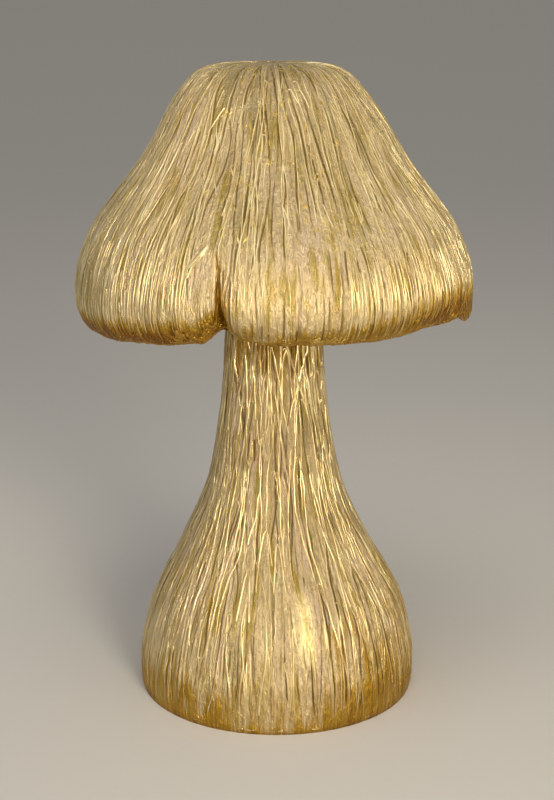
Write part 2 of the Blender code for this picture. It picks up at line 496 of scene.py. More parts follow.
def pressed(azimuths, grooves, threads, seed):
    """Groove depth, thread height, strip tilt, strip tint and mm across to the nearest groove's middle."""
    rng = np.random.default_rng(seed)
    shape = (len(azimuths), len(grooves.run))
    groove, thread, tilt, tint, offset = (np.zeros(shape) for _ in range(5))
    column = np.arange(len(azimuths))
    g_azimuth, g_force, g_width = grooves.joined()
    t_azimuth, t_force, t_width = threads.joined()
    lean, hue = rng.uniform(-1, 1, (2, len(g_width), 1))
    for row, radius in enumerate(grooves.radius):
        live = np.flatnonzero(g_force[:, row] > FAINT)
        across = np.radians(wrapped(azimuths - g_azimuth[live, row][:, None])) * radius
        away, force = np.abs(across), g_force[live, row][:, None]
        valley = force * np.exp(-away / (FLANK * g_width[live][:, None]))
        groove[:, row] = valley.max(0, initial=0)
        if len(live):
            offset[:, row] = across[valley.argmax(0), column] / MM
        side = np.sign(across) * (1 - np.exp(-away / MM)) * np.exp(-away / LEAN_REACH) * force
        tilt[:, row] = (side * lean[live]).sum(0)
        tint[:, row] = (side * hue[live]).sum(0)
        live = np.flatnonzero(t_force[:, row] > FAINT)
        across = np.radians(wrapped(azimuths - t_azimuth[live, row][:, None])) * radius
        away, force = np.abs(across), t_force[live, row][:, None]
        crest = np.exp(-((across / t_width[live][:, None]) ** 2)) * force
        thread[:, row] = crest.max(0, initial=0)
        moat = np.exp(-(((away - MOAT_AWAY) / MOAT_WIDTH) ** 2)) * force
        groove[:, row] = np.maximum(groove[:, row], MOAT * moat.max(0, initial=0) * (1 - thread[:, row]))
    return groove, thread, tilt, tint, offset


# %% Where the combing is weak or stops
hem_height = cap_grid[:, BELL_ROWS - 1, 1]  # of the hem's lowest point, by column
RIM = hem_height.mean() + 11 * MM  # the cap's threads fade out here


def box_step(at, low, high, soft):
    """1 between low and high, falling to 0 over soft outside them."""
    return np.clip(np.minimum(at - low, high - at) / soft + 1, 0, 1)


def on_cap(azimuth, height):
    """1 where the cap is combed, 0 on the smooth patch at the front right, less beside the cleft."""
    patch = box_step(azimuth, 7, 37, 5) * box_step(height, 0.335, 0.352, 0.004)
    lobe = box_step(azimuth, -22, -15, 2) * box_step(height, 0.285, 0.325, 0.008)
    bulge = box_step(azimuth, -3, 14, 3) * box_step(height, 0.305, 0.333, 0.006)
    return (1 - patch) * (1 - 0.65 * lobe) * (1 - 0.5 * bulge)


def on_cap_rim(azimuth, height):
    """As on_cap, but little is left of the threads at the rim."""
    return on_cap(azimuth, height) * (0.15 + 0.85 * np.clip((height - RIM) / (5 * MM), 0, 1))


def stem_polish_and_painted_highlight(azimuth, height):
    """How smooth hands have rubbed the one broad fan low in the stem's front, where the gilding also paints a
    brighter, yellower highlight.
    """
    return 0.75 * box_step(azimuth, 11, 15, 3.5) * box_step(height, 0.056, 0.086, 0.016)


def cap_polish_and_painted_highlight(azimuth, height):
    """As on the stem, for the bulge over the hem in the cap's front: rubbed smoother, with a painted
    highlight.
    """
    return 0.3 * box_step(azimuth, -8, 13, 5) * box_step(height, 0.298, 0.326, 0.010)


def on_stem(azimuth, height):
    """1 where the stem is combed, less on the smooth fans low in its front."""
    fans = box_step(azimuth, -22, 10, 8) * box_step(height, 0.060, 0.118, 0.015)
    return (1 - 0.3 * fans) * (1 - 1.2 * stem_polish_and_painted_highlight(azimuth, height)) * (height > 3 * MM)


# %% The cap's grooves
ALL_ROUND = (-180, 180)
cap_grooves = Lines(azimuths, cap_grid, cap_run, on_cap)
cap_grooves.batch(11, 60, ALL_ROUND, CROWN, 0.280, (0.7, 1.2), wander=3.4, ragged=0.05)
cap_grooves.batch(12, 84, ALL_ROUND, 0.430, 0.271, (0.6, 1.1), wander=2.8, ragged=0.22)
cap_grooves.batch(13, 22, (-12, 44), 0.335, 0.270, (0.7, 1.0), 1.2, ragged=0.04, strength=(0.3, 0.6))
cap_grooves.batch(14, 110, ALL_ROUND, 0.322, 0.268, (0.6, 1.0), wander=1.0, ragged=0.12)

# %% The cap's threads
TUFT = 26 * MM  # how long a short thread on the slopes is
TUFT_TOPS = (0.446, 0.432, 0.414, 0.394, 0.374, 0.354)
cap_threads = Lines(azimuths, cap_grid, cap_run, on_cap_rim)
cap_threads.batch(21, 40, ALL_ROUND, CROWN, 0.285, (0.75, 1.0), wander=3.0, ragged=0.03)
cap_threads.batch(22, 60, ALL_ROUND, 0.430, 0.271, (0.7, 0.95), wander=2.4, ragged=0.25)
cap_threads.batch(23, 60, (-95, -22), 0.345, 0.268, (0.6, 0.9), wander=1.2, ragged=0.16)
cap_threads.batch(25, 70, (20, 95), 0.335, 0.268, (0.6, 0.9), wander=1.2, ragged=0.08)
cap_threads.batch(26, 90, (95, 265), 0.340, 0.268, (0.6, 0.9), wander=1.2, ragged=0.16)
cap_threads.batch(27, 60, ALL_ROUND, 0.428, 0.300, (0.4, 0.6), wander=2.0, ragged=0.33)
for seed, top in enumerate(TUFT_TOPS, 51):
    cap_threads.batch(seed, 42, ALL_ROUND, top, top - TUFT, (0.6, 1.0), wander=4.0, slant=0.12, ragged=0.3)
cap_threads.beside(24, cap_grooves, 0.7, 1.5, (0.5, 0.75))
cap_threads.drawn(((-19.2, 0.343), (-21.5, 0.336), (-25.0, 0.326)), 2.0)
cap_threads.drawn(((-20.0, 0.338), (-22.8, 0.330), (-24.0, 0.322)), 1.1)
groove, thread, tilt, tint, offset = pressed(azimuths, cap_grooves, cap_threads, 15)
print(f"cap: {len(cap_grooves.joined()[2])} grooves, {len(cap_threads.joined()[2])} threads")

# %% The stem's grooves
# The gaps where threads on the neck part, as (azimuth, height) spots and a width in mm
CREVICES = (
    (((39, 0.264), (42, 0.250), (43, 0.236)), 2.0),
    (((43, 0.218), (46, 0.203), (46, 0.187)), 2.4),
    (((-32, 0.218), (-33, 0.197)), 1.8),
    (((-20, 0.193), (-19, 0.180)), 1.6),
)
stem_grooves = Lines(stem_azimuths, stem_grid, stem_run, on_stem)
stem_grooves.batch(31, 40, ALL_ROUND, 0.313, 0.08, (0.7, 1.1), wander=4.0, slant=0.06, ragged=0.05)
stem_grooves.batch(32, 44, ALL_ROUND, 0.22, 0.01, (0.7, 1.1), wander=4.0, slant=0.05, ragged=0.12)
stem_grooves.batch(33, 70, ALL_ROUND, 0.11, 0.001, (0.7, 1.1), wander=2.4, slant=0.03, ragged=0.12)
for spots, width in CREVICES:
    stem_grooves.drawn(spots, width, strength=1.3)

# %% The stem's threads
# Threads that run up, over and down again: the peak's azimuth and height, the length of the legs, and how
# many degrees they stand off the peak
ARCHES = (
    (-34, 0.240, 0.045, 5.0),
    (-8, 0.241, 0.030, 6.0),
    (34, 0.240, 0.024, 9.0),
    (14, 0.256, 0.034, 7.0),
    (-20, 0.262, 0.030, 6.0),
    (-6, 0.134, 0.022, 4.0),
    (2, 0.126, 0.030, 3.0),
    (-16, 0.108, 0.030, 3.0),
)
stem_threads = Lines(stem_azimuths, stem_grid, stem_run, on_stem)
stem_threads.batch(41, 26, ALL_ROUND, 0.312, 0.08, (1.1, 1.6), wander=4.0, slant=0.06, ragged=0.1)
stem_threads.batch(42, 40, ALL_ROUND, 0.22, 0.01, (1.0, 1.5), wander=4.0, slant=0.05, ragged=0.15)
stem_threads.batch(43, 54, ALL_ROUND, 0.10, 0.001, (0.9, 1.3), wander=2.4, slant=0.04, ragged=0.15)
stem_threads.batch(46, 60, ALL_ROUND, 0.055, 0.003, (0.7, 1.0), wander=2.0, slant=0.06, ragged=0.10)
for turn, peak, leg, half in ARCHES:
    for side in (-1, 1):
        shoulder_spot = (turn + 0.5 * side * half, peak - 0.15 * leg)
        stem_threads.drawn([(turn, peak), shoulder_spot, (turn + side * half, peak - leg)], 1.5)
stem_threads.batch(45, 44, ALL_ROUND, 0.312, 0.19, (1.6, 2.6), wander=3.0, slant=0.10, ragged=0.24)
stem_threads.beside(44, stem_grooves, 0.8, 1.6, (0.7, 1.0))
stem_pressed = pressed(stem_azimuths, stem_grooves, stem_threads, 35)
stem_groove, stem_thread, stem_tilt, stem_tint, stem_offset = stem_pressed
print(f"stem: {len(stem_grooves.joined()[2])} grooves, {len(stem_threads.joined()[2])} threads")

# %% [markdown]
# ## From grid to mesh
# The relief moves each grid point in or out along the casting's surface normal, and the grid is then
# closed with one point on the axis at each end. The cleft is not a groove: two lobes of the cap meet
# there, so it is pushed straight in towards the axis, with a steep left wall and a rolled right one,
# and the right lobe's edge is tucked in below its curl. Each mesh keeps what the finish needs later as
# point attributes: how deep in a groove a point is, which under the right lobe's curl also paints shade,
# and how far across from its middle, the tint of its strip, how much amber glaze and painted shade,
# how many crumbs, and how much polish and painted highlight the spot has.

# %% Soft unevenness
def uneven(azimuths, run, radius, seed, around, down, octaves=3):
    """(columns, rows) smooth noise of about -1 to 1, with lumps that wide and that long in metres."""
    rng = np.random.default_rng(seed)
    angle = np.radians(azimuths)[:, None]
    total = np.zeros((len(azimuths), len(run)))
    for octave in range(octaves):
        for _ in range(7):
            waves = max(1, round(2 * np.pi * radius / around * 2**octave * rng.uniform(0.5, 1.2)))
            slope = 2 * np.pi * 2**octave / down * rng.uniform(-1, 1)
            total += np.sin(waves * angle + slope * run[None, :] + rng.uniform(0, 2 * np.pi)) / 1.6**octave
    return total / 5


# %% The cleft
# By height: the fold's drift in degrees, its depth and half its width
CLEFT_DRIFT = ((0.270, 0.6), (0.292, 0.6), (0.303, 0.3), (0.312, 0.0), (0.322, -0.3), (0.342, -1.8))
CLEFT_DEPTH = ((0.262, 16 * MM), (0.292, 14 * MM), (0.312, 10 * MM), (0.332, 5.0 * MM), (0.344, 0))
CLEFT_WIDTH = ((0.270, 3.2 * MM), (0.292, 2.2 * MM), (0.312, 1.6 * MM), (0.340, 0.8 * MM))
CLEFT_WALLS = (0.2 * MM, 0.9 * MM)  # how softly the left wall and the right one begin
CLEFT_ROLL = 7.0 * MM  # how far the right lobe's shoulder rolls in
CLEFT_FLOOR = 0.1200  # the fold ends at this radius, inside the hem
# The brim of the right lobe, where it curls over beside the cleft, as azimuths and heights
CURL = ((-14.4, 0.310), (-13.2, 0.298), (-11.6, 0.2905), (-9.2, 0.2855), (-6.2, 0.2825), (-3.0, 0.2795))
CURL_DEPTH = 4.0 * MM


def cleft_depth(azimuths, grid):
    """(columns, rows) distance that the cleft draws the surface in towards the axis."""
    height = grid[..., 1]
    centre = CLEFT_AZIMUTH + eased(CLEFT_DRIFT, height)
    side = np.radians(azimuths[:, None] - centre) * grid[..., 0]
    width = eased(CLEFT_WIDTH, height)
    left_wall = 1 / (1 + np.exp(np.clip((-side - width) / CLEFT_WALLS[0], -40, 40)))
    right_wall = 1 / (1 + np.exp(np.clip((side - width) / CLEFT_WALLS[1], -40, 40)))
    roll = 0.35 * np.exp(-((np.clip(side / CLEFT_ROLL, 0, 9)) ** 1.5)) * (side > 0)
    reach = np.maximum(np.minimum(left_wall, right_wall), roll)
    return reach * eased(CLEFT_DEPTH, height)


def curl_depth(azimuths, grid):
    """(columns, rows) how far the right lobe's edge is tucked in below its curl."""
    brim = np.interp(azimuths, *np.array(CURL).T, left=0, right=0)[:, None]
    below = np.clip((brim - grid[..., 1]) / (1.5 * MM), 0, 1)
    fading = np.clip((CURL[-1][0] - azimuths) / 3, 0, 1)[:, None]
    return CURL_DEPTH * below**2 * (3 - 2 * below) * fading


# %% Building a skin
UV_MARGIN = 0.02  # the UV map's share that each pole's fan of triangles takes


def ring_faces(upper, lower):
    """Faces between two rings of point numbers, as long as each other or one twice as long."""
    if len(upper) == len(lower):
        return np.stack([upper, lower, np.roll(lower, -1), np.roll(upper, -1)], axis=1)
    fine, coarse = (upper, lower) if len(upper) > len(lower) else (lower, upper)
    start, middle, end = fine[::2], fine[1::2], np.roll(fine[::2], -1)
    after = np.roll(coarse, -1)
    faces = np.concatenate([
        np.stack([coarse, start, middle], axis=1),
        np.stack([coarse, middle, after], axis=1),
        np.stack([after, middle, end], axis=1),
    ])
    return faces if fine is lower else faces[:, ::-1]


def face_corners(faces, u, v):
    """UV of every corner, with the seam's far side at 1 and a pole's corner between the other two."""
    corner_u, corner_v = u[faces], v[faces]
    corner_u = corner_u + ((np.ptp(corner_u, axis=1) > 0.5)[:, None] & (corner_u < 0.5))
    if faces.shape[1] == 3:
        pole = (corner_v == 0) | (corner_v == 1)
        middle = np.where(pole, 0, corner_u).sum(1) / 2
        corner_u = np.where(pole, middle[:, None], corner_u)
    return np.stack([corner_u, corner_v], axis=-1).reshape(-1, 2)


def skin(name, azimuths, grid, strides, relief, sink, marks):
    """A closed mesh of the grid, moved out by relief and towards the axis by sink, with point attributes.

    strides says, row by row, whether every column is kept (1), every second or every fourth."""
    angle = np.radians(azimuths)[:, None]
    normal = outward(grid)
    radius = grid[..., 0] + normal[..., 0] * relief
    height = grid[..., 1] + normal[..., 1] * relief
    radius = np.where(sink > 0, np.maximum(radius - sink, np.minimum(radius, CLEFT_FLOOR)), radius)
    drift = eased(AXIS_DRIFT, grid[..., 1])
    points = np.stack([radius * np.sin(angle) + drift, -radius * np.cos(angle), height], axis=-1)
    u = azimuths / 360 + 0.5
    v = np.linspace(UV_MARGIN, 1 - UV_MARGIN, grid.shape[1])
    rings, verts, vert_u, vert_v, kept = [], [], [], [], {mark: [] for mark in marks}
    for row, stride in enumerate(strides):
        column = slice(0, None, stride)
        rings.append(sum(map(len, rings)) + np.arange(len(azimuths) // stride))
        verts.append(points[column, row])
        vert_u.append(u[column])
        vert_v.append(np.full(len(rings[-1]), v[row]))
        for mark, values in marks.items():
            kept[mark].append(values[column, row])
    count = sum(map(len, rings))
    faces = [ring_faces(upper, lower) for upper, lower in zip(rings, rings[1:])]
    first, last = rings[0], rings[-1]
    faces.append(np.stack([np.full(len(first), count), first, np.roll(first, -1)], axis=1))
    faces.append(np.stack([np.full(len(last), count + 1), np.roll(last, -1), last], axis=1))
    poles = [[drift[:, row].mean(), 0, height[:, row].mean()] for row in (0, -1)]
    vert_u = np.concatenate([*vert_u, [0.5, 0.5]])
    vert_v = np.concatenate([*vert_v, [0, 1]])
    mesh = bpy.data.meshes.new(name)
    face_list = [face for part in faces for face in part.tolist()]
    mesh.from_pydata(np.concatenate([*verts, poles]).tolist(), [], face_list)
    for mark, values in kept.items():
        layer = mesh.attributes.new(mark, "FLOAT", "POINT")
        layer.data.foreach_set("value", np.concatenate([*values, [0, 0]]).astype(np.float32))
    corners = np.concatenate([face_corners(part, vert_u, vert_v) for part in faces])
    mesh.uv_layers.new(name="combing").data.foreach_set("uv", corners.astype(np.float32).ravel())
    mesh.shade_smooth()
    piece = bpy.data.objects.new(name, mesh)
    bpy.context.scene.collection.objects.link(piece)
    mesh.calc_loop_triangles()
    print(f"{name}: {len(mesh.vertices)} points, {len(mesh.loop_triangles)} triangles")
    return piece


def strides_for(radii, full, half):
    """1 where a row's radius is over full, 2 where it is over half, and 4 elsewhere, one step at a time."""
    wanted = [1 if radius > full else 2 if radius > half else 4 for radius in radii]
    for row in range(1, len(wanted)):
        wanted[row] = min(wanted[row], wanted[row - 1] * 2)
    return wanted


# %% The cap's relief
CREST_ROOM = 0.5 * MM  # the skin rises this far above the smooth casting at most
# How many mm a thread rises, a groove cuts in, a strip tilts and a lump swells
CAP_PRESS = (0.4, 0.5, 0.5, 0.3)
STEM_PRESS = (0.4, 0.9, 0.7, 0.35)
CALM_REACH = 60 * MM  # grooves are shallow near the crown and full from here on
SHOULDER_RUN, SHOULDER_WIDTH, DENT = 50 * MM, 14 * MM, 1.6 * MM  # the dented ring round the crown


def combed(press, thread, groove, tilt, lumps):
    """How far the combing moves each grid point out, or in where it is below 0."""
    rise, cut, lean, swell = press
    return rise * MM * thread - cut * MM * groove + lean * MM * tilt + swell * MM * lumps


cap_outer = (np.arange(len(cap_run)) < BELL_ROWS)[None, :]
lumps = uneven(azimuths, cap_run, CAP_RADIUS, 51, 0.045, 0.12)
lumps += 0.8 * uneven(azimuths, cap_run, CAP_RADIUS, 53, 0.011, 0.05, octaves=2)
near_crown = np.clip(cap_run / (8 * MM), 0, 1)[None, :]
calm = np.clip(cap_run / CALM_REACH, 0, 1)[None, :]
shoulder = np.exp(-(((cap_run - SHOULDER_RUN) / SHOULDER_WIDTH) ** 2))[None, :]
dents = DENT * shoulder * np.clip(uneven(azimuths, cap_run, 0.05, 55, 0.022, 0.03), 0, 1)
groove *= 0.45 + 0.55 * calm
combing = combed(CAP_PRESS, thread, groove, tilt, lumps)
relief = (np.minimum(combing * near_crown, CREST_ROOM) - dents - RELIEF) * cap_outer
curl = curl_depth(azimuths, cap_grid)
sink = np.where(cap_outer, np.maximum(cleft_depth(azimuths, cap_grid), curl), 0)

# %% The cap's marks and skin
# How much amber glaze and painted shade the hem takes, and how far up it reaches, by azimuth
HEM_AMBER = ((-180, 1.0), (-60, 1.25), (-18, 1.1), (-13, 0.6), (0, 0.5), (30, 0.85), (60, 1.15), (180, 1.0))
HEM_AMBER_MM = ((-180, 15), (-20, 15), (15, 14), (50, 23), (80, 22), (180, 15))
above_hem = cap_grid[..., 1] - hem_height[:, None]
amber_reach = eased(HEM_AMBER_MM, azimuths)[:, None] * MM
low_edge = np.clip(1.6 - above_hem / amber_reach, 0, 1) * eased(HEM_AMBER, azimuths)[:, None]
# Glaze in the cleft, and painted shade under the right lobe's curl: the further in the skin is drawn, the
# more amber.
in_cleft = 0.7 * np.clip(sink / (3 * MM), 0, 1)
amber = np.where(cap_outer, np.maximum(low_edge, in_cleft), 1)  # the hollow keeps all its glaze
near_hem = np.clip(1 - above_hem / (14 * MM), 0, 1)
cap_marks = {
    # Painted shade: below the right lobe's curl the skin also takes a groove's glaze tones.
    "groove": np.maximum(groove, np.clip(curl / (3 * MM), 0, 1) * cap_outer),
    "offset": offset,
    "tint": tint,
    # Painted shade: the hem's lowest 4 mm, all round, takes more of the amber tone.
    "amber": amber + 0.5 * np.clip(1 - above_hem / (4 * MM), 0, 1) * cap_outer,
    "crumbs": np.clip(0.10 + 0.3 * thread + 1.2 * near_hem, 0, 1) * cap_outer,
    "polish": cap_polish_and_painted_highlight(azimuths[:, None], cap_grid[..., 1]) * cap_outer,
}
cap_strides = strides_for(np.where(cap_outer[0], cap_grid[..., 0].mean(0), 0), 0.072, 0.03)
cap_skin = skin("cap_skin", azimuths, cap_grid, cap_strides, relief, sink, cap_marks)

# %% The stem's relief
stem_height = stem_grid[..., 1]
stem_lumps = uneven(stem_azimuths, stem_run, 0.1, 52, 0.04, 0.10)
stem_lumps += 0.8 * uneven(stem_azimuths, stem_run, 0.1, 54, 0.010, 0.05, octaves=2)
foot_share = np.clip((stem_run[-1] - stem_run) / (4 * MM), 0, 1)[None, :]
combing = combed(STEM_PRESS, stem_thread, stem_groove, stem_tilt, stem_lumps)
stem_relief = (np.minimum(combing, CREST_ROOM) - RELIEF) * foot_share

# %% The stem's marks and skin
# By height: amber glaze and painted shade at the foot, and painted shade on the neck just under the cap.
STEM_AMBER = ((0.0, 0.9), (0.010, 0.65), (0.055, 0.1), (0.215, 0.1), (0.255, 0.65))  # by height
# By azimuth, low on the stem: more of the amber tone and its painted shade towards the sides than at the
# front.
FOOT_AMBER = ((-180, 1.0), (-50, 1.1), (-4, 0.7), (8, 0.7), (45, 0.8), (180, 1.0))  # by azimuth
LOW_REACH = 60 * MM  # below half of this the foot's own table rules, and above 1.5 of it no more
low = np.clip(1.5 - stem_height / LOW_REACH, 0, 1)
foot_amber = 1 + low * (eased(FOOT_AMBER, stem_azimuths)[:, None] - 1)
# A little more of the amber tone low on the stem's right side.
right_amber = box_step(stem_azimuths, 30, 80, 20)[:, None] * box_step(stem_height, 0.01, 0.075, 0.035)
near_foot = np.clip(1 - stem_height / (20 * MM), 0, 1)
stem_crumbs = np.clip(0.10 + 0.4 * stem_thread + 0.6 * near_foot, 0, 1)
stem_marks = {
    "groove": stem_groove,
    "offset": stem_offset,
    "tint": 1.5 * stem_tint,
    "amber": eased(STEM_AMBER, stem_height) * foot_amber + 0.30 * right_amber,
    "crumbs": stem_crumbs * (stem_height > 3 * MM),
    "polish": stem_polish_and_painted_highlight(stem_azimuths[:, None], stem_height),
}
no_sink = np.zeros_like(stem_relief)
stem_strides = strides_for(stem_grid[0, :, 0], 0.055, 0.0)
stem_skin = skin("stem_skin", stem_azimuths, stem_grid, stem_strides, stem_relief, no_sink, stem_marks)

# %% [markdown]
# ## The raised threads
# A grid point every half millimetre is too coarse for a crisp thread a millimetre wide, so the threads
# are their own fine tubes, laid along the planned lines and sunk into the skin. Geometry Nodes are the
# right tool, because the rule is simple: take a flat plan of the lines, look each point up on the skin
# through its UV map, and sweep a small ring along it. The tree also looks up the skin's mark of amber
# glaze and painted shade, so that a thread takes the glaze and the painted shade of the place it
# crosses. It is built once and used for every set of threads, and the plans differ.

# %% The plan of a set of lines
def line_plan(name, chains):
    """A mesh of edges in the UV plane. A chain is (n, 3): azimuth, UV height, and thread radius in metres."""
    mesh = bpy.data.meshes.new(name)
    joined = np.concatenate(chains)
    starts = np.cumsum([0, *map(len, chains)])
    edges = [(i, i + 1) for start, end in zip(starts, starts[1:]) for i in range(start, end - 1)]
    points = np.stack([(joined[:, 0] + 180) % 360 / 360, joined[:, 1], np.zeros(len(joined))], axis=1)
    mesh.from_pydata(points.tolist(), edges, [])
    mesh.attributes.new("girth", "FLOAT", "POINT").data.foreach_set("value", joined[:, 2].astype(np.float32))
    plan = bpy.data.objects.new(name, mesh)
    bpy.context.scene.collection.objects.link(plan)
    print(f"{name}: {len(chains)} lines")
    return plan


def uv_height(grid, row):
    """The UV height of a row of a grid, whole or in between."""
    return UV_MARGIN + (1 - 2 * UV_MARGIN) * row / (grid.shape[1] - 1)


GIRTH = 0.8  # a tube's radius as a share of its line's width
LEAST = 0.12  # where a line is weaker than this, no thread stands
KINK = 0.12 * MM  # how far a thread's points stray sideways
HOOKED, HOOK = 0.35, 1.2 * MM  # the share of threads that start with a hook, and its radius


def chains_of(lines, grid, seed):
    """Chains where lines are strong enough to stand as threads, some with a hook where the tool first bit."""
    rng = np.random.default_rng(seed)
    azimuth, force, width = lines.joined()
    v = uv_height(grid, np.arange(len(lines.run)))
    swing = np.radians([180, 140, 100, 60, 25])
    chains = []
    for line in range(len(width)):
        strong = force[line] > LEAST
        edges = np.flatnonzero(np.diff(np.concatenate([[False], strong, [False]]).astype(int)))
        for start, end in zip(edges[::2], edges[1::2]):
            if end - start > 3:
                rows = slice(start, end)
                radius = GIRTH * width[line] * np.clip(0.3 + force[line, rows], 0, 1)
                radius *= rng.uniform(0.6, 1.1, end - start)
                kinks = np.degrees(rng.normal(0, KINK, end - start) / lines.radius[rows])
                chain = np.stack([azimuth[line, rows] + kinks, v[rows], radius], axis=1)
                if rng.uniform() < HOOKED and start > 4:
                    aside = rng.choice([-1, 1]) * HOOK * (1 - np.cos(swing)) / lines.radius[start]
                    above = np.interp(lines.run[start] - HOOK * np.sin(swing), lines.run, v)
                    bend = [chain[0, 0] + np.degrees(aside), above, np.full(len(swing), radius[0])]
                    chain = np.concatenate([np.stack(bend, axis=1), chain])
                chains.append(chain)
    return chains


# %% A new tree with named inputs
def new_tree(name, inputs):
    """A modifier's tree that takes a plan, a skin, a material and those (name, kind, value) inputs."""
    tree = bpy.data.node_groups.new(name, "GeometryNodeTree")
    tree.is_modifier = True
    tree.interface.new_socket("Plan", in_out="INPUT", socket_type="NodeSocketGeometry")
    tree.interface.new_socket("Skin", in_out="INPUT", socket_type="NodeSocketObject")
    tree.interface.new_socket("Material", in_out="INPUT", socket_type="NodeSocketMaterial")
    for label, kind, value in inputs:
        tree.interface.new_socket(label, in_out="INPUT", socket_type=kind).default_value = value
    tree.interface.new_socket("Made", in_out="OUTPUT", socket_type="NodeSocketGeometry")
    return tree, tree.nodes.new("NodeGroupInput").outputs


# %% The tree that lays threads on a skin
def thread_tree():
    """Tubes along a plan's edges, sunk by a share of their radius, with that number of sides."""
    inputs = (("Sunk share", "NodeSocketFloat", 0.5), ("Sides", "NodeSocketInt", 6))
    tree, given = new_tree("threads_on_a_skin", inputs)
    skin_mesh = add(tree, "GeometryNodeObjectInfo", {"Object": given["Skin"]}, out="Geometry")
    uv = add(tree, "GeometryNodeInputNamedAttribute", {"Name": "combing"}, data_type="FLOAT_VECTOR")
    girth = add(tree, "GeometryNodeInputNamedAttribute", {"Name": "girth"}, data_type="FLOAT")
    flat = add(tree, "GeometryNodeInputPosition")
    found = []
    for value in (flat, add(tree, "GeometryNodeInputNormal")):
        links = {"Mesh": skin_mesh, "Value": value, "UV Map": uv, "Sample UV": flat}
        found.append(add(tree, "GeometryNodeSampleUVSurface", links, data_type="FLOAT_VECTOR"))
    sunk = add(tree, "ShaderNodeMath", {0: girth, 1: given["Sunk share"]}, operation="MULTIPLY")
    shift = add(tree, "ShaderNodeVectorMath", {0: found[1], "Scale": sunk}, operation="SCALE")
    target = add(tree, "ShaderNodeVectorMath", {0: found[0], 1: shift}, operation="SUBTRACT")
    mark = add(tree, "GeometryNodeInputNamedAttribute", {"Name": "amber"}, data_type="FLOAT")
    links = {"Mesh": skin_mesh, "Value": mark, "UV Map": uv, "Sample UV": flat}
    amber = add(tree, "GeometryNodeSampleUVSurface", links, data_type="FLOAT")
    links = {"Geometry": given["Plan"], "Name": "amber", "Value": amber}
    stained_and_shaded = add(tree, "GeometryNodeStoreNamedAttribute", links, data_type="FLOAT", domain="POINT")
    laid = add(tree, "GeometryNodeSetPosition", {"Geometry": stained_and_shaded, "Position": target})
    curves = add(tree, "GeometryNodeMeshToCurve", {"Mesh": laid})
    ring = add(tree, "GeometryNodeCurvePrimitiveCircle", {"Resolution": given["Sides"], "Radius": 1.0})
    sweep = {"Curve": curves, "Profile Curve": ring, "Scale": girth, "Fill Caps": True}
    swept = add(tree, "GeometryNodeCurveToMesh", sweep)
    smooth = add(tree, "GeometryNodeSetShadeSmooth", {0: swept})
    real = add(tree, "GeometryNodeRealizeInstances", {0: smooth})
    painted = add(tree, "GeometryNodeSetMaterial", {"Geometry": real, "Material": given["Material"]})
    add(tree, "NodeGroupOutput", {0: painted})
    return tree


def made_by(tree, name, plan, inputs):
    """A plain mesh object of what a tree makes of a plan. The plan and its modifier are removed."""
    modifier = plan.modifiers.new(tree.name, "NODES")
    modifier.node_group = tree
    sockets = {item.name: item.identifier for item in tree.interface.items_tree if item.in_out == "INPUT"}
    for label, value in inputs.items():
        modifier[sockets[label]] = value
    mesh = bpy.data.meshes.new_from_object(plan.evaluated_get(bpy.context.evaluated_depsgraph_get()))
    mesh.name = name
    bpy.data.objects.remove(plan)
    piece = bpy.data.objects.new(name, mesh)
    bpy.context.scene.collection.objects.link(piece)
    mesh.calc_loop_triangles()
    print(f"{name}: {len(mesh.loop_triangles)} triangles")
    return piece
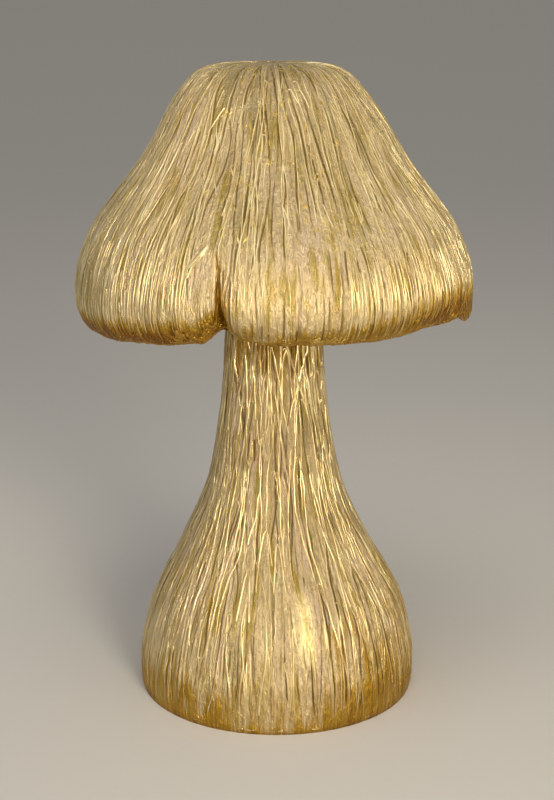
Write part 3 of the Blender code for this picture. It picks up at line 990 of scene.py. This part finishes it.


# %% [markdown]
# ## The gilding
# Champagne gilding is a pale gold paint of fine metal flake over cast resin. It is not a mirror: the
# flakes scatter, so a highlight spreads into a broad soft patch. Each strip took the paint in its own
# way, pinkish where the coat is thin and olive where it is rubbed. Umber glaze stays in the grooves, and
# it pools at the lower edges, where it turns amber. The amber tone also paints shade: at the hem's
# lowest edge, on the neck under the cap, under the right lobe's curl and at the foot. A brighter,
# yellower gold is painted as a highlight where the key lamp's highlight falls, on the stem's foot and
# the cap's bulge. So the material starts from one pale gold and lays one tone after another over it,
# each where a mark of the skin or a noise says. The noises that follow the combing are drawn on the UV
# map, and the others on the object's own coordinates.

# %% Gilding for the skins
def gilding(name, streak_scale, wash_scale, glazed):
    """Aged champagne gilding. The scales are for streaks and washes on the UV map, round and along.

    glazed is how strongly the umber line in a groove's middle shows."""
    material, tree = new_material(name)
    place = add(tree, "ShaderNodeTexCoord", out="Object")
    uv = add(tree, "ShaderNodeUVMap", uv_map="combing")
    marks = {mark: add(tree, "ShaderNodeAttribute", attribute_name=mark, out="Fac") for mark in cap_marks}
    upright = add(tree, "ShaderNodeMapping", {"Vector": place, "Scale": (1, 1, 0.35)})
    drawn_out = add(tree, "ShaderNodeMapping", {"Vector": uv, "Scale": streak_scale})
    drawn_wide = add(tree, "ShaderNodeMapping", {"Vector": uv, "Scale": wash_scale})
    # Rubbed patches are about 40 mm wide, blotches 11 mm, and the flake's grain 2.4 mm, which is coarser
    # than the real flake, because a finer one would not show. Streaks are up to 2 mm wide, washes up to 7.
    patches, blotches, streaks, washes, grain = (
        add(tree, "ShaderNodeTexNoise", {"Vector": at, "Scale": scale, "Detail": detail, "Roughness": rough})
        for at, scale, detail, rough in (
            (upright, 26.0, 3.0, 0.5),
            (upright, 90.0, 5.0, 0.6),
            (drawn_out, 1.0, 4.0, 0.65),
            (drawn_wide, 1.0, 3.0, 0.6),
            (upright, 420.0, 3.0, 0.6),
        )
    )
    tinted = add(tree, "ShaderNodeMath", {0: marks["tint"], 1: 0.35, 2: patches}, operation="MULTIPLY_ADD")
    # The amber tone: glaze pooled at the lower edges, and painted shade where the skin's amber mark holds it.
    pooled_and_shaded = add(tree, "ShaderNodeMath", {0: marks["amber"], 1: 1.4}, operation="MULTIPLY")
    pooled_and_shaded = add(tree, "ShaderNodeMath", {0: blotches, 1: 1.5, 2: pooled_and_shaded}, operation="MULTIPLY_ADD")
    pooled_and_shaded = add(tree, "ShaderNodeMath", {0: streaks, 1: 1.8, 2: pooled_and_shaded}, operation="MULTIPLY_ADD")
    # The distance to a groove's middle changes evenly between points, so the line drawn from it is finer
    # than the mesh. The groove's own depth keeps it from appearing halfway between two grooves.
    beside = add(tree, "ShaderNodeMath", {0: marks["offset"]}, operation="ABSOLUTE")
    line = add(tree, "ShaderNodeMapRange", {"Value": beside, "From Min": 0.62, "From Max": 0.05})
    deep = add(tree, "ShaderNodeMapRange", {"Value": marks["groove"], "From Min": 0.1, "From Max": 0.5})
    line = add(tree, "ShaderNodeMath", {0: line, 1: deep}, operation="MULTIPLY")
    colour = linear("#dcc596")
    for value, low, high, most, tone in (
        (tinted, 0.50, 0.80, 0.9, "#dbc2a2"),  # pinkish strips
        (tinted, 0.48, 0.22, 0.8, "#b7a474"),  # olive strips
        (streaks, 0.46, 0.25, 0.7, "#e8dabb"),  # pale streaks
        (streaks, 0.50, 0.75, 0.5, "#ad9558"),  # dull streaks
        (washes, 0.49, 0.66, 0.9, "#b0953c"),  # yellow washes
        (grain, 0.50, 0.75, 0.4, "#9a7e44"),  # gaps between flakes
        # Painted highlight: a brighter, yellower gold where the key lamp's highlight falls, on the stem's
        # foot and the cap's bulge.
        (marks["polish"], 0.0, 1.0, 0.6, "#f1dc9e"),  # rubbed bright
        (marks["groove"], 0.10, 0.6, 0.7, "#ab8d3c"),  # thin glaze on a groove's sides
        # Amber glaze, and painted shade where the amber mark holds it: the hem's lowest edge, the neck under
        # the cap, under the curl, the foot.
        (pooled_and_shaded, 1.98, 2.65, 0.92, "#b38b1c"),  # amber glaze
        (pooled_and_shaded, 2.62, 3.40, 0.9, "#875405"),  # the same, thick
        (line, 0.0, 1.0, glazed, "#755217"),  # umber in a groove's middle
    ):
        links = {"Value": value, "From Min": low, "From Max": high, "To Max": most}
        share = add(tree, "ShaderNodeMapRange", links, interpolation_type="SMOOTHSTEP")
        colour = add(tree, "ShaderNodeMix", {0: share, 6: colour, 7: linear(tone)}, out=2, data_type="RGBA")
    links = {"Value": streaks, "From Min": 0.3, "From Max": 0.75, "To Min": 0.33, "To Max": 0.56}
    rough = add(tree, "ShaderNodeMapRange", links)
    rough = add(tree, "ShaderNodeMath", {0: marks["polish"], 1: -0.15, 2: rough}, operation="MULTIPLY_ADD")
    even = add(tree, "ShaderNodeMath", {0: marks["polish"], 1: -0.6, 2: 0.9}, operation="MULTIPLY_ADD")
    fine = add(tree, "ShaderNodeMath", {0: grain, 1: 0.8, 2: streaks}, operation="MULTIPLY_ADD")
    fine = add(tree, "ShaderNodeMath", {0: line, 1: -0.8, 2: fine}, operation="MULTIPLY_ADD")
    crust = add(tree, "ShaderNodeMath", {0: marks["amber"], 1: 3.0, 2: 1.5}, operation="MULTIPLY_ADD")
    fine = add(tree, "ShaderNodeMath", {0: blotches, 1: crust, 2: fine}, operation="MULTIPLY_ADD")
    bump = add(tree, "ShaderNodeBump", {"Height": fine, "Strength": even, "Distance": 2.4 * MM})
    links = {"Value": pooled_and_shaded, "From Min": 2.0, "From Max": 2.7, "To Min": 0.62, "To Max": 0.9}
    metal = add(tree, "ShaderNodeMapRange", links)
    metal = add(tree, "ShaderNodeMath", {0: line, 1: -0.45, 2: metal}, operation="MULTIPLY_ADD")
    links = {"Base Color": colour, "Metallic": metal, "Roughness": rough, "Normal": bump}
    add(tree, "ShaderNodeOutputMaterial", {"Surface": add(tree, "ShaderNodeBsdfPrincipled", links)})
    return material


# Gold paint brushed on cast resin: a satin, broken shine. The counts round give both coats streaks of
# about 2 mm at their widest ring, and the stem's grooves hold more glaze.
cap_gilding = gilding("champagne_gilding_on_the_cap", (420, 9, 1), (130, 5, 1), 0.32)
stem_gilding = gilding("champagne_gilding_on_the_stem", (300, 10, 1), (90, 5, 1), 0.55)
cap_skin.data.materials.append(cap_gilding)
stem_skin.data.materials.append(stem_gilding)
print("gilded both skins")

# %% [markdown]
# ## The threads' finish
# Hands and dusters touch the crests first. The gold on them is burnished, brighter and smoother than the
# gold between them, and worn duller in patches. Low down, where the glaze pooled, it ran over the threads
# too and stained them, and where the skin below holds painted shade, the threads take that painted
# shade as well.

# %% Burnished gold
def burnished(name, bright, worn, stained_and_shaded):
    """Gold rubbed bright on the crests, worn duller in patches, and stained and shaded where the skin below
    holds amber glaze and painted shade.
    """
    material, tree = new_material(name)
    place = add(tree, "ShaderNodeTexCoord", out="Object")
    # Worn patches are about 17 mm wide, a fingertip's width.
    wear = add(tree, "ShaderNodeTexNoise", {"Vector": place, "Scale": 60.0, "Detail": 3.0})
    part = add(tree, "ShaderNodeMapRange", {"Value": wear, "From Min": 0.4, "From Max": 0.65})
    links = {0: part, 6: linear(bright), 7: linear(worn)}
    colour = add(tree, "ShaderNodeMix", links, out=2, data_type="RGBA")
    amber = add(tree, "ShaderNodeAttribute", attribute_name="amber", out="Fac")
    amber = add(tree, "ShaderNodeMath", {0: wear, 1: 0.8, 2: amber}, operation="MULTIPLY_ADD")
    links = {"Value": amber, "From Min": 0.75, "From Max": 1.45, "To Max": 0.85}
    stain_and_shade = add(tree, "ShaderNodeMapRange", links)
    links = {0: stain_and_shade, 6: colour, 7: linear(stained_and_shaded)}
    colour = add(tree, "ShaderNodeMix", links, out=2, data_type="RGBA")
    links = {"Base Color": colour, "Metallic": 0.75, "Roughness": 0.33}
    add(tree, "ShaderNodeOutputMaterial", {"Surface": add(tree, "ShaderNodeBsdfPrincipled", links)})
    return material


# The same gold paint as the skins', burnished: narrow bright highlights along each crest.
thread_gold = burnished("burnished_gold_threads", "#efdfae", "#d2bb82", "#a9832c")
stem_thread_gold = burnished("burnished_gold_stem_threads", "#efdca6", "#cdb37c", "#9c7838")
# Gold over a thick bead of paste that drank the glaze: a warmer, deeper yellow.
lip_gold = burnished("amber_gold_lips", "#e6ca78", "#b39442", "#a87f24")
# Gold sprayed into the hollow and never rubbed: dull and brownish.
rib_gold = burnished("dull_gold_ribs", "#c9a968", "#96773a", "#977636")

# %% [markdown]
# ## Lips and dabs
# The tool pushed paste ahead of it. Where a stroke ended, at the hem, at the crown's shoulder and at the
# foot, the paste stayed as a short wavy lip that runs round the edge, and elsewhere as a crooked dab.
# Both are threads of another plan, so the same tree makes them. The stem has few, so they join its
# threads in one mesh.

# %% Plans for lips and dabs
def edge_chains(seed, count, grid, v_middle, v_spread, girth, arc=(4, 18), sector=ALL_ROUND):
    """Short wavy lips that run round an edge, as (azimuth, v, radius) chains. girth and arc are in mm."""
    rng = np.random.default_rng(seed)
    radius = grid[..., 0].max()
    part = np.linspace(0, 1, 14)
    chains = []
    for _ in range(count):
        azimuth = rng.uniform(*sector) + np.degrees(rng.uniform(arc[0] * MM, arc[1] * MM) / radius) * part
        wave = rng.uniform(-1, 1) + 0.5 * np.sin(part * rng.uniform(3, 9) + rng.uniform(0, 6))
        size = rng.uniform(girth[0] * MM, girth[1] * MM) * np.sin(np.pi * np.clip(part, 0.03, 0.97)) ** 0.5
        chains.append(np.stack([azimuth, v_middle + v_spread * wave, size], axis=1))
    return chains


def dab_chains(seed, count, grid, v_range, girth, sector=ALL_ROUND):
    """Short crooked dabs, more down than across, anywhere between two UV heights. girth is in mm."""
    rng = np.random.default_rng(seed)
    spans = grid.shape[1] - 1
    rows_per_metre = spans / np.linalg.norm(np.diff(grid, axis=1), axis=-1).mean(0).sum()
    part = np.linspace(0, 1, 8)
    chains = []
    for _ in range(count):
        drop = (1 - 2 * UV_MARGIN) * rng.uniform(2, 9) * MM * rows_per_metre / spans
        v = rng.uniform(*v_range) ** 0.7 + drop * part
        radius = max(grid[0, int(v[0] * spans), 0], 20 * MM)
        aside = np.cumsum(rng.normal(0, 0.25 * MM, len(part))) + rng.normal(0, 1.5 * MM) * part
        size = rng.uniform(girth[0] * MM, girth[1] * MM) * np.sin(np.pi * np.clip(part, 0.08, 0.92)) ** 0.6
        chains.append(np.stack([rng.uniform(*sector) + np.degrees(aside / radius), v, size], axis=1))
    return chains


# %% Lips and dabs on the cap
laying = thread_tree()
hem_v = uv_height(cap_grid, BELL_ROWS - 3)
crown_v = uv_height(cap_grid, np.abs(cap_grid[0, :BELL_ROWS, 0] - 44 * MM).argmin())
lips = edge_chains(61, 170, cap_grid, hem_v, 0.014, (0.4, 1.0))
lips += edge_chains(69, 150, cap_grid, hem_v + 0.014, 0.010, (0.6, 1.3), (3, 10))
lips += edge_chains(74, 70, cap_grid, hem_v - 0.012, 0.016, (0.5, 1.0), (3, 8), (10, 75))
lips += edge_chains(66, 22, cap_grid, hem_v - 0.02, 0.025, (0.6, 1.2), (4, 9), (-30, -18))
lips += edge_chains(65, 45, cap_grid, crown_v, 0.012, (0.3, 0.6))
lips += dab_chains(67, 300, cap_grid, (0.04, 0.80), (0.35, 0.75))
lips += dab_chains(73, 110, cap_grid, (0.04, 0.50), (0.5, 0.95), (-28, 32))
lip_plan = line_plan("lip_plan", lips)
lip_piece = made_by(laying, "cap_lips", lip_plan, {"Skin": cap_skin, "Material": lip_gold})

# %% The threads, with the stem's lips and dabs among them
cap_plan = line_plan("cap_thread_plan", chains_of(cap_threads, cap_grid, 63))
cap_thread_piece = made_by(laying, "cap_threads", cap_plan, {"Skin": cap_skin, "Material": thread_gold})
foot_v = uv_height(stem_grid, np.abs(stem_grid[0, :, 1] - 2.6 * MM).argmin())
stem_chains = chains_of(stem_threads, stem_grid, 64)
stem_chains += edge_chains(62, 90, stem_grid, foot_v, 0.002, (0.3, 0.6), (1, 4))
stem_chains += dab_chains(68, 160, stem_grid, (0.06, 0.90), (0.35, 0.7))
stem_plan = line_plan("stem_thread_plan", stem_chains)
stem_inputs = {"Skin": stem_skin, "Material": stem_thread_gold, "Sunk share": 0.6}
stem_thread_piece = made_by(laying, "stem_threads", stem_plan, stem_inputs)

# %% [markdown]
# ## Crumbs in the gilding
# The real finish is not clean. Crumbs of paste stuck to the combing and to the rim before the gilding,
# and they sparkle. Their places follow a rule and not a drawing, so a second tree scatters small flattened
# balls over a skin, most densely where the skin's own crumb mark is high.

# %% The tree that scatters crumbs
def crumb_tree():
    """Small flattened balls, turned at random, most of them where the skin's crumb mark is 1."""
    inputs = (
        ("Most per square metre", "NodeSocketFloat", 70000.0),
        ("Crumb radius", "NodeSocketFloat", 0.6 * MM),
        ("Seed", "NodeSocketInt", 0),
    )
    tree, given = new_tree("crumbs_on_a_skin", inputs)
    skin_mesh = add(tree, "GeometryNodeObjectInfo", {"Object": given["Skin"]}, out="Geometry")
    mark = add(tree, "GeometryNodeInputNamedAttribute", {"Name": "crumbs"}, data_type="FLOAT")
    density = add(tree, "ShaderNodeMath", {0: mark, 1: given["Most per square metre"]}, operation="MULTIPLY")
    links = {"Mesh": skin_mesh, "Density": density, "Seed": given["Seed"]}
    spots = add(tree, "GeometryNodeDistributePointsOnFaces", links)
    ball = add(tree, "GeometryNodeMeshIcoSphere", {"Radius": given["Crumb radius"], "Subdivisions": 1})
    limits = {0: (0.4, 0.4, 0.4), 1: (1.0, 1.0, 1.5), "Seed": given["Seed"]}
    size = add(tree, "FunctionNodeRandomValue", limits, data_type="FLOAT_VECTOR")
    limits = {0: (-0.5, -0.5, -3.0), 1: (0.5, 0.5, 3.0), "Seed": given["Seed"]}
    turn = add(tree, "FunctionNodeRandomValue", limits, data_type="FLOAT_VECTOR")
    links = {"Points": spots, "Instance": ball, "Rotation": turn, "Scale": size}
    placed = add(tree, "GeometryNodeInstanceOnPoints", links)
    real = add(tree, "GeometryNodeRealizeInstances", {0: placed})
    smooth = add(tree, "GeometryNodeSetShadeSmooth", {0: real})
    painted = add(tree, "GeometryNodeSetMaterial", {"Geometry": smooth, "Material": given["Material"]})
    add(tree, "NodeGroupOutput", {0: painted})
    return tree


# %% Crumbs on both castings
scattering = crumb_tree()
crumb_pieces = []
for seed, ground in enumerate((cap_skin, stem_skin), 81):
    plan = bpy.data.objects.new("crumb_plan", bpy.data.meshes.new("crumb_plan"))
    bpy.context.scene.collection.objects.link(plan)
    inputs = {"Skin": ground, "Material": lip_gold, "Seed": seed}
    crumb_pieces.append(made_by(scattering, ground.name.replace("skin", "crumbs"), plan, inputs))

# %% [markdown]
# ## Under the cap
# The hollow side of the cap has low ribs that run in from the hem to the stem, as gills do. They follow
# the hollow as the threads follow the outside, so the same tree makes them from a plan of its own.

# %% The ribs in the hollow
RIB_COUNT = 96
RIB_RADIUS = 1.1 * MM
RIB_ROWS = (0.5, 5.9)  # where a rib starts and ends, in rows of the hollow
rng = np.random.default_rng(71)
part = np.linspace(0, 1, 16)
rib_v = uv_height(cap_grid, BELL_ROWS + RIB_ROWS[0] + (RIB_ROWS[1] - RIB_ROWS[0]) * part)
rib_girth = RIB_RADIUS * np.sin(np.pi * (0.06 + 0.88 * part)) ** 0.6
rib_chains = []
for rib in range(RIB_COUNT):
    azimuth = 360 * (rib + rng.uniform(-0.25, 0.25)) / RIB_COUNT
    azimuth = azimuth + 1.2 * np.sin(3 * part + rng.uniform(0, 6))
    rib_chains.append(np.stack([azimuth, rib_v, rib_girth], axis=1))
rib_plan = line_plan("rib_plan", rib_chains)
rib_inputs = {"Skin": cap_skin, "Material": rib_gold, "Sides": 8}
rib_piece = made_by(laying, "under_cap_ribs", rib_plan, rib_inputs)

# %% [markdown]
# ## Joining the pieces to the frame
# Every piece rides on the ornament's one body. The skins and threads of the cap stand for the frame's
# cap, and those of the stem for its stem.

# %% Ride and replace the frame's parts
for piece, node in (
    (cap_skin, "cap"),
    (cap_thread_piece, "cap"),
    (lip_piece, "cap"),
    (crumb_pieces[0], "cap"),
    (rib_piece, "cap"),
    (stem_skin, "stem"),
    (stem_thread_piece, "stem"),
    (crumb_pieces[1], "stem"),
):
    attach(piece, "root")
    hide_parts(node)

# %% Sizes
made_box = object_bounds()
sizes = {"cad": [list(corner) for corner in cad_box], "visual": [list(corner) for corner in made_box]}
for name, (low, high) in sizes.items():
    print(name, [round(1000 * (b - a), 1) for a, b in zip(low, high)], "mm")
